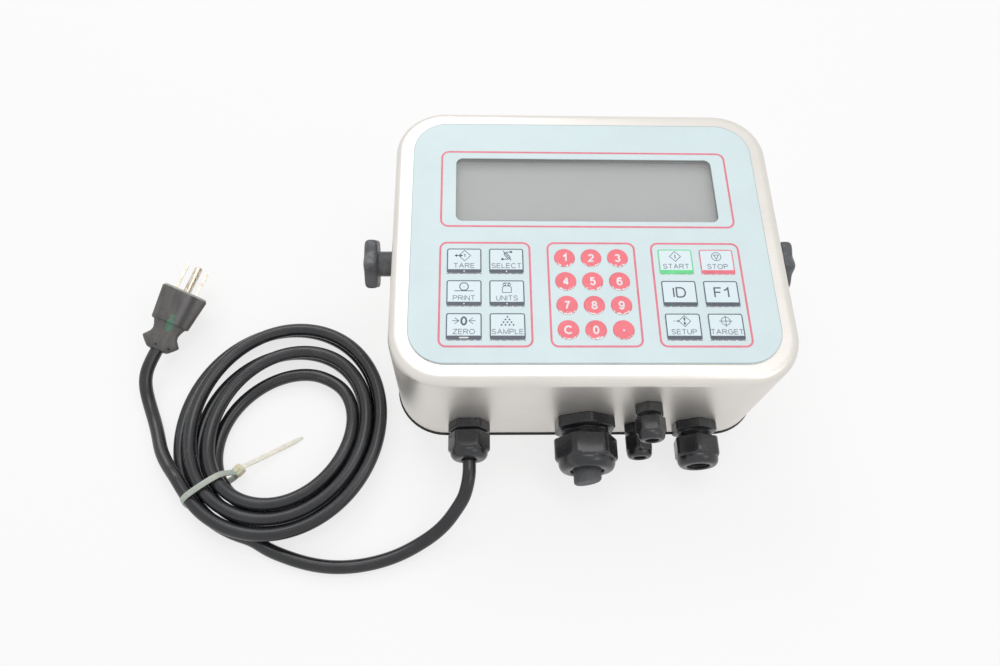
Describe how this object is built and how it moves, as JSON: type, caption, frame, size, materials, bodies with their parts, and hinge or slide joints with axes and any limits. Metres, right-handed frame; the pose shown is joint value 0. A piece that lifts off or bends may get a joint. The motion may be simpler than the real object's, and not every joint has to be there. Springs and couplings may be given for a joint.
{
  "type": "weighing indicator",
  "caption": "Stainless steel weighing indicator lying on its back, with a membrane keypad, display, side knobs, cable glands and a tied mains lead with plug.",
  "frame": {"origin": "centre of the rear cover's rest face", "axes": "+Z out of the display, +X to the display's right, -Y towards the cable glands"},
  "size_m": [0.3978, 0.258, 0.091],
  "materials": {
    "housing_steel": "satin stainless steel with a fine grain",
    "fixing_steel": "turned steel",
    "gasket_rubber": "soft black rubber",
    "label_film": "pale blue printed film, satin",
    "green_film": "pale blue film with green print",
    "red_film": "red print on film",
    "circuit_film": "laminated film",
    "pane_clear": "clear polished pane",
    "display_glass": "grey liquid crystal glass",
    "bezel_plastic": "moulded dark plastic",
    "board_laminate": "green laminate",
    "component_plastic": "dark moulded plastic",
    "terminal_plastic": "green moulded plastic",
    "transformer_steel": "varnished steel stack",
    "knob_plastic": "black moulded plastic",
    "gland_nylon": "glossy black nylon",
    "seal_rubber": "soft rubber",
    "blank_rubber": "grey rubber",
    "lead_jacket": "black flexible jacket",
    "tie_nylon": "natural nylon",
    "plug_moulding": "moulded dark grey plastic",
    "pin_plate": "bright nickel plate"
  },
  "bodies": {
    "indicator": {"front_housing": "housing_steel", "rear_cover": "housing_steel", "rear_gasket": "gasket_rubber", "cover_screws": "fixing_steel", "keypad_overlay": "label_film", "keypad_circuit": "circuit_film", "display_window": "pane_clear", "lcd_glass": "display_glass", "lcd_bezel": "bezel_plastic", "display_board": "board_laminate", "main_board": "board_laminate", "board_components": "component_plastic", "terminal_blocks": "terminal_plastic", "transformer": "transformer_steel", "board_standoffs": "fixing_steel", "power_gland_body": "gland_nylon", "large_gland_body": "gland_nylon", "medium_gland_body": "gland_nylon", "small_gland_bodies": "gland_nylon", "power_gland_nut": "gland_nylon", "large_gland_nut": "gland_nylon", "medium_gland_nut": "gland_nylon", "small_gland_nuts": "gland_nylon", "gland_seals": "seal_rubber", "gland_locknuts": "gland_nylon", "blanking_plug": "blank_rubber", "cord_lead": "lead_jacket", "cord_coil": "lead_jacket", "cord_tail": "lead_jacket", "cable_tie": "tie_nylon", "plug_body": "plug_moulding", "plug_pins": "pin_plate"},
    "knob_left_body": {"knob_left": "knob_plastic", "knob_stud_left": "fixing_steel"},
    "knob_right_body": {"knob_right": "knob_plastic", "knob_stud_right": "fixing_steel"},
    "key_tare_body": {"key_tare": "label_film"},
    "key_select_body": {"key_select": "label_film"},
    "key_print_body": {"key_print": "label_film"},
    "key_units_body": {"key_units": "label_film"},
    "key_zero_body": {"key_zero": "label_film"},
    "key_sample_body": {"key_sample": "label_film"},
    "key_start_body": {"key_start": "green_film"},
    "key_stop_body": {"key_stop": "red_film"},
    "key_id_body": {"key_id": "label_film"},
    "key_f1_body": {"key_f1": "label_film"},
    "key_setup_body": {"key_setup": "label_film"},
    "key_target_body": {"key_target": "label_film"},
    "key_1_body": {"key_1": "red_film"},
    "key_2_body": {"key_2": "red_film"},
    "key_3_body": {"key_3": "red_film"},
    "key_4_body": {"key_4": "red_film"},
    "key_5_body": {"key_5": "red_film"},
    "key_6_body": {"key_6": "red_film"},
    "key_7_body": {"key_7": "red_film"},
    "key_8_body": {"key_8": "red_film"},
    "key_9_body": {"key_9": "red_film"},
    "key_clear_body": {"key_clear": "red_film"},
    "key_0_body": {"key_0": "red_film"},
    "key_point_body": {"key_point": "red_film"}
  },
  "joints": [
    {"name": "key_tare_press", "type": "slide", "parent": "indicator", "child": "key_tare_body", "axis": [0, 0, 1], "range_m": [-0.00035, 0], "stiffness_N_per_m": 1500},
    {"name": "key_select_press", "type": "slide", "parent": "indicator", "child": "key_select_body", "axis": [0, 0, 1], "range_m": [-0.00035, 0], "stiffness_N_per_m": 1500},
    {"name": "key_print_press", "type": "slide", "parent": "indicator", "child": "key_print_body", "axis": [0, 0, 1], "range_m": [-0.00035, 0], "stiffness_N_per_m": 1500},
    {"name": "key_units_press", "type": "slide", "parent": "indicator", "child": "key_units_body", "axis": [0, 0, 1], "range_m": [-0.00035, 0], "stiffness_N_per_m": 1500},
    {"name": "key_zero_press", "type": "slide", "parent": "indicator", "child": "key_zero_body", "axis": [0, 0, 1], "range_m": [-0.00035, 0], "stiffness_N_per_m": 1500},
    {"name": "key_sample_press", "type": "slide", "parent": "indicator", "child": "key_sample_body", "axis": [0, 0, 1], "range_m": [-0.00035, 0], "stiffness_N_per_m": 1500},
    {"name": "key_start_press", "type": "slide", "parent": "indicator", "child": "key_start_body", "axis": [0, 0, 1], "range_m": [-0.00035, 0], "stiffness_N_per_m": 1500},
    {"name": "key_stop_press", "type": "slide", "parent": "indicator", "child": "key_stop_body", "axis": [0, 0, 1], "range_m": [-0.00035, 0], "stiffness_N_per_m": 1500},
    {"name": "key_id_press", "type": "slide", "parent": "indicator", "child": "key_id_body", "axis": [0, 0, 1], "range_m": [-0.00035, 0], "stiffness_N_per_m": 1500},
    {"name": "key_f1_press", "type": "slide", "parent": "indicator", "child": "key_f1_body", "axis": [0, 0, 1], "range_m": [-0.00035, 0], "stiffness_N_per_m": 1500},
    {"name": "key_setup_press", "type": "slide", "parent": "indicator", "child": "key_setup_body", "axis": [0, 0, 1], "range_m": [-0.00035, 0], "stiffness_N_per_m": 1500},
    {"name": "key_target_press", "type": "slide", "parent": "indicator", "child": "key_target_body", "axis": [0, 0, 1], "range_m": [-0.00035, 0], "stiffness_N_per_m": 1500},
    {"name": "key_1_press", "type": "slide", "parent": "indicator", "child": "key_1_body", "axis": [0, 0, 1], "range_m": [-0.00035, 0], "stiffness_N_per_m": 1500},
    {"name": "key_2_press", "type": "slide", "parent": "indicator", "child": "key_2_body", "axis": [0, 0, 1], "range_m": [-0.00035, 0], "stiffness_N_per_m": 1500},
    {"name": "key_3_press", "type": "slide", "parent": "indicator", "child": "key_3_body", "axis": [0, 0, 1], "range_m": [-0.00035, 0], "stiffness_N_per_m": 1500},
    {"name": "key_4_press", "type": "slide", "parent": "indicator", "child": "key_4_body", "axis": [0, 0, 1], "range_m": [-0.00035, 0], "stiffness_N_per_m": 1500},
    {"name": "key_5_press", "type": "slide", "parent": "indicator", "child": "key_5_body", "axis": [0, 0, 1], "range_m": [-0.00035, 0], "stiffness_N_per_m": 1500},
    {"name": "key_6_press", "type": "slide", "parent": "indicator", "child": "key_6_body", "axis": [0, 0, 1], "range_m": [-0.00035, 0], "stiffness_N_per_m": 1500},
    {"name": "key_7_press", "type": "slide", "parent": "indicator", "child": "key_7_body", "axis": [0, 0, 1], "range_m": [-0.00035, 0], "stiffness_N_per_m": 1500},
    {"name": "key_8_press", "type": "slide", "parent": "indicator", "child": "key_8_body", "axis": [0, 0, 1], "range_m": [-0.00035, 0], "stiffness_N_per_m": 1500},
    {"name": "key_9_press", "type": "slide", "parent": "indicator", "child": "key_9_body", "axis": [0, 0, 1], "range_m": [-0.00035, 0], "stiffness_N_per_m": 1500},
    {"name": "key_clear_press", "type": "slide", "parent": "indicator", "child": "key_clear_body", "axis": [0, 0, 1], "range_m": [-0.00035, 0], "stiffness_N_per_m": 1500},
    {"name": "key_0_press", "type": "slide", "parent": "indicator", "child": "key_0_body", "axis": [0, 0, 1], "range_m": [-0.00035, 0], "stiffness_N_per_m": 1500},
    {"name": "key_point_press", "type": "slide", "parent": "indicator", "child": "key_point_body", "axis": [0, 0, 1], "range_m": [-0.00035, 0], "stiffness_N_per_m": 1500},
    {"name": "knob_left_turn", "type": "hinge", "parent": "indicator", "child": "knob_left_body", "pos_m": [-0.11, 0, 0.0577], "axis": [-1, 0, 0], "continuous": true},
    {"name": "knob_right_turn", "type": "hinge", "parent": "indicator", "child": "knob_right_body", "pos_m": [0.11, 0, 0.0577], "axis": [1, 0, 0], "continuous": true}
  ]
}
